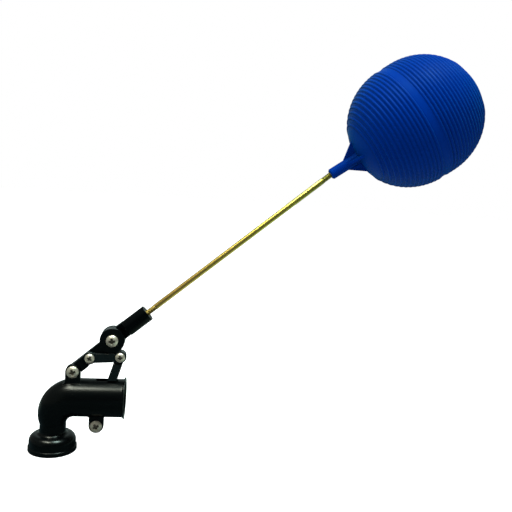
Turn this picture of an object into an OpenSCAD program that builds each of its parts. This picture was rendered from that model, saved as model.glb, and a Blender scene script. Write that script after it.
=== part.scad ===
// Elbow float valve with a ribbed ball on a rod.
// Millimetres, +Z up. The origin is the centre of the inlet mouth, +X runs along the barrel to the outlet.

/* [Inlet bell and leg] */
// Height of the barrel axis above the inlet mouth
axis_h = 55.3; // [52:0.1:64]
// Outside diameter of the inlet bell
bell_d = 46.8; // [44:0.1:52]
// Height of the bell's straight side
bell_h = 9.9; // [8:0.1:11]
// Radius of the bell's round shoulder
shoulder_r = 7; // [5:0.1:8]
// How far the rim stands out past the bell
rim_out = 1; // [0.5:0.1:2]
// Height of the rim
rim_h = 4.2; // [2:0.1:6]
// Diameter of the inlet's thread bore
thread_bore_d = 30.3; // [24:0.1:33]
// Depth of the thread bore
thread_depth = 14; // [10:0.1:15]
// Outside diameter of the leg
leg_d = 26.4; // [25:0.1:30]
// Diameter of the waterway in the leg and the bend
waterway_d = 20; // [14:0.1:21]

/* [Barrel] */
// Outside diameter of the barrel
barrel_d = 39; // [37:0.1:44]
// Distance from the leg axis to the outlet face
outlet_x = 71.9; // [70:0.1:90]
// Wall of the barrel
barrel_wall = 3; // [2:0.1:4]
// How far the outlet lip stands out past the barrel
lip_out = 1.9; // [1:0.1:3]
// Thickness of the lip's edge
lip_edge = 0.9; // [0.6:0.1:2]
// Radius of the trumpet inside the outlet
mouth_flare = 3.6; // [1:0.1:4]
// Radius of the inside corner between leg and barrel
crotch_r = 8.6; // [6:0.1:9]
// Distance from the leg axis to the seat face
seat_x = 27; // [26.5:0.1:29]
// How far the seat's nozzle stands out of the barrel's end wall
seat_rise = 3; // [2:0.1:3.5]
// Diameter of the seat's orifice
orifice_d = 18; // [12:0.1:20]
// Wall of the seat's nozzle
seat_wall = 2.6; // [1.5:0.1:3]

/* [Ears] */
// Width of an ear
ear_w = 15; // [13:0.1:17]
// Thickness of an ear
ear_t = 5.5; // [4:0.1:7]
// Radius of the flare at an ear's foot
ear_foot_r = 2.4; // [2:0.1:5]
// How deep the flare's toe runs into the barrel
ear_sink = 0.4; // [0.2:0.1:0.8]

/* [Linkage] */
// Lever pivot, along the barrel from the leg axis
lever_pivot_x = 19.65; // [18:0.05:22]
// Lever pivot, above the barrel axis
lever_pivot_h = 29.3; // [28:0.1:32]
// Rocker pivot, along the barrel from the leg axis
rocker_pivot_x = 44.35; // [43:0.05:46]
// Rocker pivot, below the barrel axis
rocker_pivot_drop = 27; // [26.5:0.1:30]
// Angle of the lever above level, with the valve open
lever_angle = 41.1; // [40:0.1:43]
// Distance from the lever pivot to the hub pin
lever_reach = 50; // [49:0.1:56]
// Distance from the hub pin back to the link pin
link_back = 28.7; // [28:0.1:30]
// Distance between the link's pins
link_len = 30.4; // [30:0.1:32]
// Slope of the link, with the valve open, in degrees
link_slope = 3.6; // [2:0.1:5]
// Turn of the link on the lever from open to closed, in degrees
link_turn = 58; // [55:0.5:60]
// Thickness of the lever and the rocker
bar_t = 7; // [5:0.1:8]
// Width of the lever
lever_w = 11.7; // [10:0.1:13]
// Width of the rocker
rocker_w = 9.1; // [8:0.1:10]
// Radius of the rocker's ends
rocker_end_r = 5.5; // [5.2:0.1:6.2]
// Thickness of the link
link_t = 4; // [3:0.1:5]
// Radius of the link's end on the lever
link_low_r = 6.4; // [6:0.1:6.6]
// Radius of the link's end on the rocker
link_high_r = 6.1; // [5.5:0.1:6.2]
// Depth of the link below the line of its pins
link_lower = 5; // [4:0.1:5.4]
// Height of the link above its pin on the lever
link_upper = 5; // [4:0.1:5.2]
// Fall of the link's upper edge from the lever to the rocker, against the line of its pins
link_fall = 1.6; // [1:0.1:2.5]
// Side gap between plates that turn past each other
side_gap = 0.3; // [0.2:0.05:0.5]

/* [Piston] */
// How far the seat washer stands off the seat, with the valve open
valve_lift = 5.8; // [5.8:0.1:7]
// Diameter of the seat washer
seat_washer_d = 25.4; // [24:0.1:27]
// Thickness of the seat washer
seat_washer_t = 4; // [3:0.1:4.5]
// How far the seat washer stands out of the piston
seat_washer_proud = 1; // [0.5:0.1:1.5]
// Wall round the seat washer and behind it
cup_wall = 1.8; // [1.2:0.1:2]
// Radius of the nose that the rocker pushes
nose_r = 3.2; // [2.5:0.1:3.5]
// Width of the nose
nose_w = 12; // [8:0.1:14]
// Thickness of the piston's guide wings
wing_t = 2.4; // [1.5:0.1:3]
// Height of the piston's guide wings
wing_h = 15; // [10:0.1:18]
// Length of the piston's guide wings
wing_len = 27; // [20:0.1:30]

/* [Arm] */
// Angle of the rod above level, with the valve open
arm_angle = 40.2; // [38:0.1:43]
// Diameter of the hub's two round eyes, the lever's in front and the holder's behind
hub_d = 25.2; // [22:0.1:25.4]
// Thickness of the holder's eye
eye_t = 7.6; // [6:0.1:9]
// Distance from the hub pin to the socket's shoulder
socket_start = 17.4; // [16:0.1:20]
// Distance from the hub pin to the socket's mouth
socket_end = 44.5; // [42:0.1:55]
// Diameter of the rod's socket
socket_d = 17; // [15:0.1:18]
// Width of the neck between hub and socket
neck_w = 15.8; // [13:0.1:16]
// Bevel at the socket's shoulder
socket_bevel = 0.8; // [0.3:0.1:1.5]
// Diameter of the brass insert in the socket
insert_d = 10; // [9:0.1:12]
// Length of the brass insert
insert_len = 20; // [15:0.1:24]
// Diameter of the rod
rod_d = 6; // [5:0.1:6.5]
// Bare length of the rod between socket and float
rod_free = 234; // [150:0.5:320]
// Length of rod screwed in at each end
rod_grip = 18; // [12:0.5:19]
// Lean of the float's axis from the rod's, in degrees
float_lean = 4.8; // [0:0.1:5]

/* [Float] */
// Diameter of the float over its ribs
float_d = 127; // [100:0.5:150]
// Straight skirt of the rod half, from the joint of the halves
rod_skirt = 1.4; // [0.5:0.1:6]
// Straight skirt of the far half, from the joint of the halves
far_skirt = 12.1; // [4:0.1:16]
// Wall of the float
float_wall = 2.4; // [1.5:0.1:4]
// Height of a rib
rib_h = 0.8; // [0.4:0.1:1.2]
// Radius of a rib's round crest
rib_r = 1.5; // [1.2:0.1:1.8]
// Spacing of the ribs along the float's axis
rib_pitch = 3.85; // [3.7:0.05:4.2]
// Distance from the joint of the halves to the first rib on each side
band_half = 5.35; // [3:0.05:8]
// Ribs on the rod half
rod_ribs = 14; // [6:1:14]
// Ribs on the far half
far_ribs = 16; // [6:1:16]
// Diameter of the float's boss
boss_d = 11.3; // [10:0.1:14]
// Length of the boss, from its mouth to the ball
boss_len = 32.8; // [28:0.1:45]
// Bevel at the mouth of the boss
boss_bevel = 1.3; // [0.5:0.1:2]
// Plain length of the boss, from its mouth to the fins
boss_plain = 18; // [10:0.1:22]
// Distance of a fin's outer foot from the float's axis
fin_reach = 18; // [12:0.1:22]
// Thickness of a fin
fin_t = 3; // [2:0.1:4]

/* [Fasteners] */
// Diameter of the pivot screws
pivot_screw_d = 6; // [5:0.1:6]
// Diameter of the pivot screws' heads
pivot_head_d = 12.2; // [10:0.1:13]
// Height of the pivot screws' heads
pivot_head_h = 4.2; // [3:0.1:5]
// Width of the pivot nuts across their flats
pivot_nut_w = 10; // [8:0.1:11]
// Height of the pivot nuts
pivot_nut_h = 5; // [4:0.1:6]
// Diameter of the link screws
link_screw_d = 5; // [4:0.1:5]
// Diameter of the link screws' heads
link_head_d = 9.8; // [8:0.1:11]
// Height of the link screws' heads
link_head_h = 3.5; // [2.5:0.1:4]
// Width of the link nuts across their flats
link_nut_w = 8; // [7:0.1:9]
// Height of the link nuts
link_nut_h = 4; // [3:0.1:5]
// Length of thread past a nut
thread_past_nut = 1.5; // [0.5:0.1:3]

/* [Clearances] */
// Radial clearance of a pin in its hole
pin_gap = 0.06; // [0.02:0.01:0.1]
// Radial clearance of the piston in the barrel
piston_gap = 0.1; // [0.05:0.01:0.1]
// Play at the link's pin in the rocker, in every direction
link_play = 1.35; // [1.3:0.05:1.5]
// Clearance of the rocker in the barrel's slots
slot_gap = 1.1; // [0.8:0.1:1.5]
// Side clearance of the rocker in the barrel's slots
slot_side = 0.8; // [0.7:0.1:1.2]
// Gap round the link and the ear in the raised pads of the lever and the rocker
pad_gap = 0.7; // [0.5:0.1:1]
// Gap between the rocker and the piston's nose
push_gap = 0.3; // [0.3:0.05:0.5]
// Turn of the rocker from open to closed, in degrees
rocker_turn = 12; // [12:0.5:13]

/* [Hidden] */
$fn = 96;

black = [0.05, 0.06, 0.07];
blue = [0.03, 0.25, 0.62];
steel = [0.78, 0.76, 0.7];
zinc = [0.72, 0.6, 0.28];
brass = [0.78, 0.6, 0.25];
rubber = [0.12, 0.12, 0.12];

// Overlap that lets joined shapes run into each other
into = barrel_wall / 3;

bell_r = bell_d / 2;
leg_r = leg_d / 2;
barrel_r = barrel_d / 2;
bore_r = barrel_r - barrel_wall;
waterway_r = waterway_d / 2;
bell_top = bell_h + shoulder_r;
neck_fillet = bell_r - shoulder_r - leg_r;
// Centre of the inside corner's round, as [x, z]; the elbow swings about it
elbow_corner = [leg_r + crotch_r, axis_h - barrel_r - crotch_r];

// Layers across the linkage, measured from the middle plane
bar_y = bar_t / 2;
plate_y = bar_y + side_gap;
ear_y = plate_y + ear_t;
link_y = plate_y + link_t;
// The holder's eye laps behind the lever's eye at the middle plane
lap_y = side_gap / 2;
eye_y = lap_y + eye_t;

// Pins as [x, z]; the rocker's top pin closes the four-bar chain
lever_pin = [lever_pivot_x, axis_h + lever_pivot_h];
rocker_pin = [rocker_pivot_x, axis_h - rocker_pivot_drop];
hub_pin = lever_pin + lever_reach * [cos(lever_angle), sin(lever_angle)];
link_pin = hub_pin - link_back * [cos(lever_angle), sin(lever_angle)];
rocker_top = link_pin + link_len * [cos(link_slope), sin(link_slope)];
rocker_angle = direction(rocker_pin, rocker_top);
rocker_tilt = 90 - rocker_angle;

// Piston places along the barrel
seat_wall_x = seat_x - seat_rise;
washer_face_x = seat_x + valve_lift;
cup_x = washer_face_x + seat_washer_proud;
cup_floor_x = washer_face_x + seat_washer_t;
cup_back_x = cup_floor_x + cup_wall;
washer_r = seat_washer_d / 2;
cup_r = washer_r + pin_gap + cup_wall;
nose_offset = rocker_w / 2 + nose_r + push_gap;
nose_x = rocker_pivot_x + (rocker_pivot_drop * sin(rocker_tilt) - nose_offset) / cos(rocker_tilt);

// Slots in the barrel, from where the rocker's edges reach
slot_w = bar_t + 2 * slot_side;
closed_tilt = rocker_tilt - rocker_turn;
slot_end = rocker_w / 2 / cos(rocker_tilt) + slot_gap;
top_slot = [rocker_x(closed_tilt, bore_r) - slot_end, rocker_x(rocker_tilt, barrel_r) + slot_end];
bottom_slot = [rocker_x(closed_tilt, -barrel_r) - slot_end, rocker_x(rocker_tilt, -bore_r) + slot_end];

// Float places along its own axis, from the mouth of the boss
float_r = float_d / 2;
shell_r = float_r - rib_h;
boss_r = boss_d / 2;
rod_center_x = boss_len + shell_r;
joint_x = rod_center_x + rod_skirt;
far_center_x = joint_x + far_skirt;

// Angle from one point to another in the X-Z plane
function direction(from, to) = atan2(to[1] - from[1], to[0] - from[0]);

// Where the rocker's middle line crosses a height above the barrel axis, for a tilt
function rocker_x(tilt, height) = rocker_pivot_x + (height + rocker_pivot_drop) * tan(tilt);

// Radius of the elbow's section at a turn from 0, the leg, to 90, the barrel
function elbow_r(turn) = leg_r + (barrel_r - leg_r) * sin(turn);

// Places that the sub-parts share
module at_pin(pin) {
    translate([pin[0], 0, pin[1]]) children();
}

module along_x() {
    rotate([0, 90, 0]) children();
}

module on_barrel_axis() {
    translate([0, 0, axis_h]) children();
}

module along_arm() {
    at_pin(hub_pin) rotate([0, -arm_angle, 0]) children();
}

module along_float() {
    along_arm() translate([socket_end + rod_free, 0, 0]) rotate([0, float_lean, 0]) children();
}

// Plate between two Y planes, from an outline in X and Z
module plate(y_from, y_to) {
    translate([0, y_to, 0]) rotate([90, 0, 0]) linear_extrude(y_to - y_from) children();
}

module cross_hole(pin, d) {
    at_pin(pin) rotate([90, 0, 0]) cylinder(d = d, h = 4 * ear_y, center = true);
}

// Elbow between leg and barrel, a loft of circles swung about the inside corner
module elbow_loft() {
    sides = 56;
    turns = 15;
    inset = into / 50;
    stations = [
        [0, 0, -into],
        for (i = [0:turns]) [90 * i / turns, 0, 0],
        [90, into, 0]
    ];
    points = [
        for (s = stations)
            let (r = elbow_r(s[0]))
            for (k = [0:sides - 1])
                let (reach = crotch_r + r + (r - inset) * cos(360 * k / sides))
                [
                    elbow_corner[0] - reach * cos(s[0]) + s[1],
                    (r - inset) * sin(360 * k / sides),
                    elbow_corner[1] + reach * sin(s[0]) + s[2]
                ]
    ];
    last = len(stations) - 1;
    faces = [
        [for (k = [sides - 1:-1:0]) k],
        for (i = [0:last - 1])
            for (k = [0:sides - 1])
                let (n = (k + 1) % sides)
                [i * sides + k, i * sides + n, (i + 1) * sides + n, (i + 1) * sides + k],
        [for (k = [0:sides - 1]) last * sides + k]
    ];
    polyhedron(points, faces, convexity = 4);
}

// Outline of the bell, its neck and the leg, as radius and height
module bell_outline() {
    leg_top = elbow_corner[1] + into / 2;
    polygon([[0, 0], [leg_r, 0], [leg_r, leg_top - into], [leg_r - into, leg_top], [0, leg_top]]);
    square([bell_r + rim_out, rim_h]);
    square([bell_r, bell_h]);
    square([bell_r - shoulder_r, bell_top]);
    translate([bell_r - shoulder_r, bell_h]) intersection() {
        circle(shoulder_r);
        square(shoulder_r);
    }
    difference() {
        square([leg_r + neck_fillet, bell_top + neck_fillet]);
        translate([leg_r + neck_fillet, bell_top + neck_fillet]) circle(neck_fillet);
    }
}

// Outline of the barrel with its flared lip, as radius and distance from the leg axis
module barrel_outline() {
    start = elbow_corner[0] - into / 2;
    flare_x = outlet_x - lip_edge - lip_out;
    polygon([
        [0, start],
        [barrel_r - into, start],
        [barrel_r, start + into],
        [barrel_r, outlet_x],
        [0, outlet_x]
    ]);
    difference() {
        translate([0, flare_x]) square([barrel_r + lip_out, outlet_x - flare_x]);
        translate([barrel_r + lip_out, flare_x]) circle(lip_out);
    }
}

// Barrel bore, with the seat's nozzle left standing and a trumpet mouth
module bore_outline() {
    difference() {
        translate([0, seat_wall_x]) square([bore_r, outlet_x + into - seat_wall_x]);
        square([orifice_d / 2 + seat_wall, seat_x]);
    }
    difference() {
        translate([0, outlet_x - mouth_flare]) square([bore_r + mouth_flare, mouth_flare + into]);
        translate([bore_r + mouth_flare, outlet_x - mouth_flare]) circle(mouth_flare);
    }
}

// Thread bore, a cone and the leg's bore, then a round bend to the seat's orifice
module waterway() {
    bend_x = seat_wall_x - into;
    thread_r = thread_bore_d / 2;
    rotate_extrude() polygon([
        [0, -into],
        [thread_r, -into],
        [thread_r, thread_depth],
        [waterway_r, thread_depth + thread_r - waterway_r],
        [waterway_r, axis_h - bend_x],
        [0, axis_h - bend_x]
    ]);
    translate([bend_x, 0, axis_h - bend_x]) rotate([90, 0, 0]) rotate([0, 0, 90])
        rotate_extrude(angle = 90) translate([bend_x, 0]) circle(waterway_r);
    on_barrel_axis() translate([bend_x - into, 0, 0]) along_x()
        cylinder(d = orifice_d, h = seat_rise + 3 * into);
}

// Ear outline about its pin, with the foot a given distance below
module ear_outline(foot) {
    half = ear_w / 2;
    circle(half);
    translate([-half, -foot - barrel_wall]) square([ear_w, foot + barrel_wall]);
    difference() {
        translate([-half - ear_foot_r, -foot - barrel_wall])
            square([ear_w + 2 * ear_foot_r, ear_foot_r + barrel_wall]);
        for (side = [-1, 1])
            translate([side * (half + ear_foot_r), ear_foot_r - foot]) circle(ear_foot_r);
    }
}

module ear(pin, foot, turn) {
    at_pin(pin) rotate([0, turn, 0]) plate(-ear_y, -plate_y) ear_outline(foot);
}

module slot(span, z_from, h) {
    on_barrel_axis() translate([span[0], -slot_w / 2, z_from]) cube([span[1] - span[0], slot_w, h]);
}

module valve_body() {
    // Height of the ears' feet, just inside the barrel where their outer faces meet it
    foot_h = sqrt(barrel_r ^ 2 - ear_y ^ 2) - ear_sink;
    color(black) difference() {
        union() {
            rotate_extrude() bell_outline();
            elbow_loft();
            on_barrel_axis() along_x() rotate_extrude() barrel_outline();
            ear(lever_pin, lever_pivot_h - foot_h, 0);
            ear(rocker_pin, rocker_pivot_drop - foot_h, 180);
        }
        waterway();
        on_barrel_axis() along_x() rotate_extrude() bore_outline();
        slot(top_slot, 0, 2 * barrel_r);
        slot(bottom_slot, -barrel_r - into, barrel_r);
        cross_hole(lever_pin, pivot_screw_d + 2 * pin_gap);
        cross_hole(rocker_pin, pivot_screw_d + 2 * pin_gap);
    }
}

module piston() {
    wing_r = bore_r - piston_gap;
    color(black) on_barrel_axis() difference() {
        union() {
            translate([cup_x, 0, 0]) along_x() cylinder(r = cup_r, h = cup_back_x - cup_x);
            translate([cup_back_x - into, -nose_w / 2, -nose_r])
                cube([nose_x - cup_back_x + into, nose_w, 2 * nose_r]);
            translate([nose_x, 0, 0]) rotate([90, 0, 0]) cylinder(r = nose_r, h = nose_w, center = true);
            intersection() {
                translate([cup_x, 0, 0]) along_x() difference() {
                    cylinder(r = wing_r, h = wing_len);
                    translate([0, 0, cup_back_x - cup_x]) cylinder(r = wing_r - wing_t, h = wing_len);
                }
                translate([cup_x - into, -barrel_r, -wing_h / 2])
                    cube([wing_len + 2 * into, barrel_d, wing_h]);
            }
        }
        translate([cup_x - into, 0, 0]) along_x()
            cylinder(r = washer_r + pin_gap, h = cup_floor_x - cup_x + into);
    }
}

module seat_washer() {
    color(rubber) on_barrel_axis() translate([washer_face_x, 0, 0]) along_x()
        cylinder(r = washer_r, h = seat_washer_t);
}

// Straight bar outline between two pins
module bar_outline(from, to, width) {
    translate(from) rotate(direction(from, to)) translate([0, -width / 2]) square([norm(to - from), width]);
}

// Bar through the barrel, with a raised pad in front between the barrel and the link with its play
module rocker() {
    pad_low = axis_h + barrel_r + pad_gap;
    pad_high = rocker_top[1] - link_high_r - link_play - side_gap;
    color(black) difference() {
        union() {
            plate(-bar_y, bar_y) {
                bar_outline(rocker_pin, rocker_top, rocker_w);
                for (pin = [rocker_pin, rocker_top]) translate(pin) circle(rocker_end_r);
            }
            plate(-link_y, into - bar_y) intersection() {
                bar_outline(rocker_pin, rocker_top, rocker_w);
                translate([0, pad_low]) square([2 * rocker_top[0], pad_high - pad_low]);
            }
        }
        cross_hole(rocker_pin, pivot_screw_d + 2 * pin_gap);
        cross_hole(rocker_top, link_screw_d + 2 * link_play);
    }
}

// Raised pad of the lever, cut back round the ear and for the link from open to closed
module lever_pad_outline() {
    closed_lower = link_lower + pad_gap;
    difference() {
        bar_outline(lever_pin, link_pin, lever_w);
        translate(lever_pin) circle(ear_w / 2 + pad_gap);
        translate(link_pin) circle(link_low_r + pad_gap);
        translate(link_pin) rotate(link_slope - link_turn)
            translate([0, -closed_lower]) square([link_len, closed_lower]);
    }
}

// Arm from the ear to a round eye that laps in front of the holder's eye
module lever() {
    color(black) difference() {
        union() {
            plate(-bar_y, bar_y) {
                bar_outline(lever_pin, hub_pin, lever_w);
                translate(lever_pin) circle(d = lever_w);
            }
            plate(-link_y, into - bar_y) lever_pad_outline();
            plate(-link_y, bar_y) translate(hub_pin) circle(d = hub_d);
        }
        plate(-lap_y, bar_y + into) translate(hub_pin) circle(hub_d / 2 + side_gap);
        cross_hole(lever_pin, pivot_screw_d + 2 * pin_gap);
        cross_hole(link_pin, link_screw_d + 2 * pin_gap);
        cross_hole(hub_pin, pivot_screw_d + 2 * pin_gap);
    }
}

module front_link() {
    color(black) difference() {
        plate(-link_y, -plate_y) {
            translate(link_pin) rotate(link_slope) polygon([
                [0, -link_lower],
                [link_len, -link_lower],
                [link_len, link_upper - link_fall],
                [0, link_upper]
            ]);
            translate(link_pin) circle(link_low_r);
            translate(rocker_top) circle(link_high_r);
        }
        cross_hole(link_pin, link_screw_d + 2 * pin_gap);
        cross_hole(rocker_top, link_screw_d + 2 * pin_gap);
    }
}

// Socket outline as radius and distance from the hub pin
module socket_outline() {
    r = socket_d / 2;
    polygon([
        [0, socket_start],
        [r - socket_bevel, socket_start],
        [r, socket_start + socket_bevel],
        [r, socket_end],
        [0, socket_end]
    ]);
}

// Eye and neck behind the lever's eye, then a round socket in line with the rod
module rod_holder() {
    color(black) along_arm() difference() {
        union() {
            plate(lap_y, eye_y) circle(d = hub_d);
            translate([0, lap_y, -neck_w / 2]) cube([socket_start + socket_bevel / 2, eye_t, neck_w]);
            along_x() rotate_extrude() socket_outline();
        }
        rotate([90, 0, 0]) cylinder(d = pivot_screw_d + 2 * pin_gap, h = 4 * eye_y, center = true);
        translate([socket_end - insert_len, 0, 0]) along_x()
            cylinder(d = insert_d + 2 * pin_gap, h = insert_len + into);
    }
}

module holder_insert() {
    color(brass) along_arm() translate([socket_end - insert_len, 0, 0]) along_x() difference() {
        cylinder(d = insert_d, h = insert_len);
        translate([0, 0, -into]) cylinder(d = rod_d + 2 * pin_gap, h = insert_len + 2 * into);
    }
}

module float_rod() {
    color(zinc) along_arm() translate([socket_end - rod_grip, 0, 0]) along_x()
        cylinder(d = rod_d, h = rod_free + 2 * rod_grip);
}

// Ball half as radius and distance along the float: a dome about its centre and a straight skirt
module dome_outline(r, center_x, side) {
    translate([0, center_x]) intersection() {
        circle(r);
        translate([0, side > 0 ? 0 : -r]) square(r);
    }
    translate([0, min(center_x, joint_x)]) square([r, abs(joint_x - center_x)]);
}

// Round ribs at an even spacing along the axis, crests on the ball
module rib_outline(center_x, side, count) {
    ring_r = float_r - rib_r;
    for (i = [0:count - 1]) {
        x = joint_x + side * (band_half + i * rib_pitch);
        // Distance past the dome's centre, or 0 on the straight skirt
        past = max(0, side * (x - center_x));
        up = past * ring_r / float_r;
        translate([sqrt(ring_r ^ 2 - up ^ 2), x + side * (up - past)]) circle(rib_r, $fn = 48);
    }
}

// Four fins from the boss to the ball, as two crossed plates
module float_fins() {
    fin_end = boss_len + shell_r - sqrt(shell_r ^ 2 - fin_reach ^ 2);
    half = [
        [boss_plain, boss_r],
        [fin_end, fin_reach],
        [fin_end + into, fin_reach],
        [boss_len + into, boss_r]
    ];
    for (turn = [0, 90])
        rotate([turn, 0, 0]) plate(-fin_t / 2, fin_t / 2) polygon(concat(
            half,
            [for (i = [len(half) - 1:-1:0]) [half[i][0], -half[i][1]]]
        ));
}

module float_rod_half() {
    color(blue) along_float() difference() {
        union() {
            along_x() rotate_extrude() difference() {
                union() {
                    dome_outline(shell_r, rod_center_x, -1);
                    rib_outline(rod_center_x, -1, rod_ribs);
                    translate([0, boss_bevel]) square([boss_r, boss_len + into - boss_bevel]);
                    polygon([[0, 0], [boss_r - boss_bevel, 0], [boss_r, boss_bevel], [0, boss_bevel]]);
                }
                dome_outline(shell_r - float_wall, rod_center_x, -1);
            }
            float_fins();
        }
        rotate([0, -float_lean, 0]) translate([-into, 0, 0]) along_x()
            cylinder(d = rod_d + 2 * pin_gap, h = rod_grip + 2 * into);
    }
}

module float_far_half() {
    color(blue) along_float() along_x() rotate_extrude() difference() {
        union() {
            dome_outline(shell_r, far_center_x, 1);
            rib_outline(far_center_x, 1, far_ribs);
        }
        dome_outline(shell_r - float_wall, far_center_x, 1);
    }
}

// Cross-recess pan head screw along +Y, its head's seat at the origin
module pan_screw(d, head_d, head_h, grip, nut_h) {
    edge_h = head_h * 0.4;
    crown_h = head_h - edge_h;
    crown_r = ((head_d / 2) ^ 2 + crown_h ^ 2) / (2 * crown_h);
    recess = [head_d * 0.52, head_d * 0.13, head_h * 0.5];
    rotate([-90, 0, 0]) {
        cylinder(d = d, h = grip + nut_h + thread_past_nut);
        difference() {
            translate([0, 0, -head_h]) intersection() {
                cylinder(d = head_d, h = head_h);
                translate([0, 0, crown_r]) sphere(crown_r);
            }
            for (turn = [0, 90])
                rotate([0, 0, turn]) translate([-recess[0] / 2, -recess[1] / 2, -head_h - into])
                    cube([recess[0], recess[1], recess[2] + into]);
        }
    }
}

module hex_nut(d, width, h) {
    rotate([-90, 0, 0]) difference() {
        cylinder(d = width / cos(30), h = h, $fn = 6);
        translate([0, 0, -into]) cylinder(d = d + 2 * pin_gap, h = h + 2 * into);
    }
}

// Screws and nuts by their pin, with the head's seat in front and the nut's seat behind
module pivot_screw(pin, front, back) {
    color(steel) at_pin(pin) translate([0, -front, 0])
        pan_screw(pivot_screw_d, pivot_head_d, pivot_head_h, front + back, pivot_nut_h);
}

module pivot_nut(pin, back) {
    color(steel) at_pin(pin) translate([0, back, 0]) hex_nut(pivot_screw_d, pivot_nut_w, pivot_nut_h);
}

module link_screw(pin) {
    color(steel) at_pin(pin) translate([0, -link_y, 0])
        pan_screw(link_screw_d, link_head_d, link_head_h, link_y + plate_y, link_nut_h);
}

module link_nut(pin) {
    color(steel) at_pin(pin) translate([0, plate_y, 0]) hex_nut(link_screw_d, link_nut_w, link_nut_h);
}

module lever_pivot_screw() { pivot_screw(lever_pin, ear_y, plate_y); }
module lever_pivot_nut() { pivot_nut(lever_pin, plate_y); }
module rocker_pivot_screw() { pivot_screw(rocker_pin, ear_y, plate_y); }
module rocker_pivot_nut() { pivot_nut(rocker_pin, plate_y); }
module hub_screw() { pivot_screw(hub_pin, link_y, eye_y + side_gap); }
module hub_nut() { pivot_nut(hub_pin, eye_y + side_gap); }
module lever_link_screw() { link_screw(link_pin); }
module lever_link_nut() { link_nut(link_pin); }
module rocker_link_screw() { link_screw(rocker_top); }
module rocker_link_nut() { link_nut(rocker_top); }

valve_body();
piston();
seat_washer();
rocker();
lever();
front_link();
rod_holder();
holder_insert();
float_rod();
float_rod_half();
float_far_half();
lever_pivot_screw();
lever_pivot_nut();
rocker_pivot_screw();
rocker_pivot_nut();
hub_screw();
hub_nut();
lever_link_screw();
lever_link_nut();
rocker_link_screw();
rocker_link_nut();
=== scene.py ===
"""Looks of the elbow float valve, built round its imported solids.

Lengths in the pieces' size fields are millimetres in the part's own frame: the origin is the centre of the
inlet mouth, +Z runs up the leg, +X along the barrel to the outlet and +Y to the rear. The finishes and the
studio are in metres, apart from the camera's place.
"""

from __future__ import annotations

import logging
import math
from abc import ABC, abstractmethod
from dataclasses import dataclass, field, replace
from enum import Enum
from typing import Any, Callable, ClassVar, Iterable, Mapping, Optional, Sequence

import bmesh
import bpy
from mathutils import Matrix, Vector


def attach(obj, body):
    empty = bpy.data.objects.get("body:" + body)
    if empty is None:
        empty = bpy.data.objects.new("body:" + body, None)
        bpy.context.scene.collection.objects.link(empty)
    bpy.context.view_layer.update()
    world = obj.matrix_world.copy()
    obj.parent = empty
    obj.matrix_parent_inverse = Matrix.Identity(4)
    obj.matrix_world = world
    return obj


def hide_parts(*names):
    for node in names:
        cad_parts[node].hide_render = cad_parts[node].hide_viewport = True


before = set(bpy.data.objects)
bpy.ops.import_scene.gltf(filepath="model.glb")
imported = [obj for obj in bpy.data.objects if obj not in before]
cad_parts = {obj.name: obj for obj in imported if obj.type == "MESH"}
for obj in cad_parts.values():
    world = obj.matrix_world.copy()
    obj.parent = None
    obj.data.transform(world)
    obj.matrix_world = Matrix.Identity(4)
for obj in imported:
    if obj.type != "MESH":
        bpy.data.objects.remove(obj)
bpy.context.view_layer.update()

LOG = logging.getLogger("float_valve")
MM = 0.001
AXIS_MARK = "axis_mark"
DARKENING_MARK = "grime_mark"
NOISE_BAND = (0.35, 0.65)
WELD = 1e-7
RELAX_SHARE = 0.5
PLATE_EDGE_STEPS = 3

Point2 = tuple[float, float]
Loop = list[Point2]
Color = tuple[float, float, float]
Point3 = tuple[float, float, float]
Swell = Callable[[float, float, float], float]
Socket = bpy.types.NodeSocket
Outputs = bpy.types.NodeOutputs
Piece = bpy.types.Object
BMesh = bmesh.types.BMesh


class Slot(Enum):
    """Material slots of the record."""

    BLACK = "black_plastic"
    FLOAT = "float_plastic"
    STEEL = "screw_steel"
    ZINC = "rod_zinc"
    BRASS = "brass"
    RUBBER = "seat_rubber"


class Body(Enum):
    """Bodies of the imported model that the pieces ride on."""

    HOUSING = "housing"
    LEVER = "lever_bar"
    LINK = "link_plate"
    ROCKER = "rocker_bar"
    PLUNGER = "plunger"
    ARM = "float_arm"


# Shader graphs


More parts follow.
